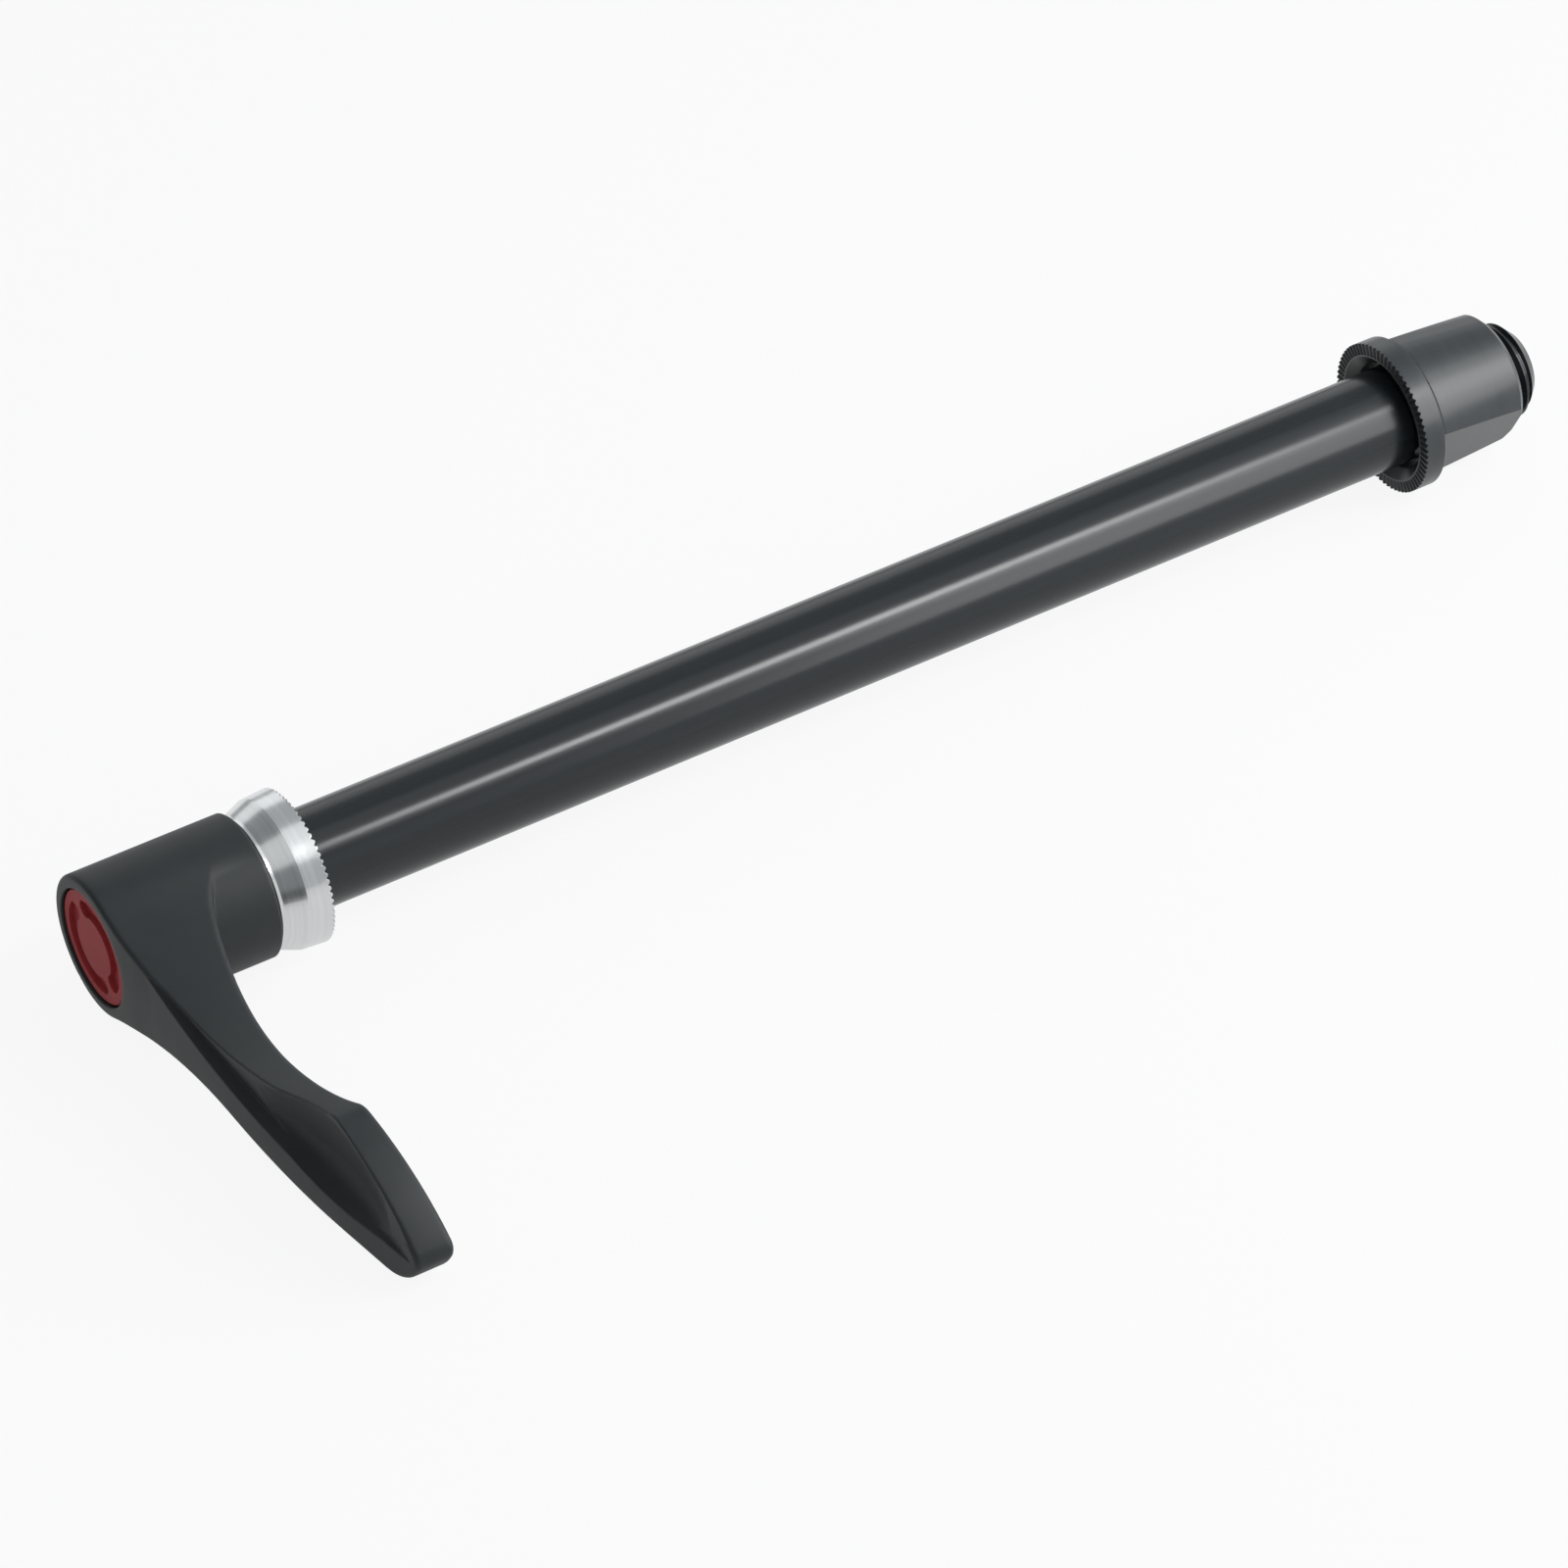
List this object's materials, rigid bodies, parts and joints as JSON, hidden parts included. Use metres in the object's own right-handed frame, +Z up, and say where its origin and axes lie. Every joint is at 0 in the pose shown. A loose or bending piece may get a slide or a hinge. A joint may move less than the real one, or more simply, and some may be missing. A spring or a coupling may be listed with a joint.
{
  "type": "thru axle",
  "caption": "Bicycle thru axle: hollow shaft with a threaded tip and flanged end nut, a knurled clamp washer, and a sprung lift-and-turn lever with a finger pocket and a round screw-on cap.",
  "frame": {"origin": "on the shaft's axis, in the clamp face of the washer beside the lever", "axes": "+X along the shaft from the lever to its threaded tip, +Z up from the surface that the part lies on, with the lever's arm pointing along -Y"},
  "size_m": [0.194, 0.0762, 0.0192],
  "materials": {
    "anodised_black": "gloss black anodised",
    "lever_black": "matte black coating",
    "cap_red": "matte dark red",
    "silver": "turned and satin",
    "bearing_brass": "plain",
    "spring_steel": "plain drawn wire",
    "ring_rubber": "matte"
  },
  "bodies": {
    "axle": {"axle_shaft": "anodised_black", "thrust_washer": "bearing_brass", "lever_cap": "cap_red", "lever_spring": "spring_steel"},
    "lever": {"lever": "lever_black"},
    "washer": {"clamp_washer": "silver", "washer_ring": "ring_rubber"},
    "nut": {"axle_nut": "anodised_black"}
  },
  "joints": [
    {"name": "lever_lift", "type": "slide", "parent": "axle", "child": "lever", "axis": [-1, 0, 0], "range_m": [0, 0.0045], "stiffness_N_per_m": 2000, "springref_m": -0.003, "deforming": ["lever_spring"]},
    {"name": "washer_turn", "type": "hinge", "parent": "axle", "child": "washer", "pos_m": [-0.003, 0, 0], "axis": [1, 0, 0], "continuous": true},
    {"name": "nut_travel", "type": "slide", "parent": "axle", "child": "nut", "axis": [1, 0, 0], "range_m": [0, 0.017]}
  ]
}
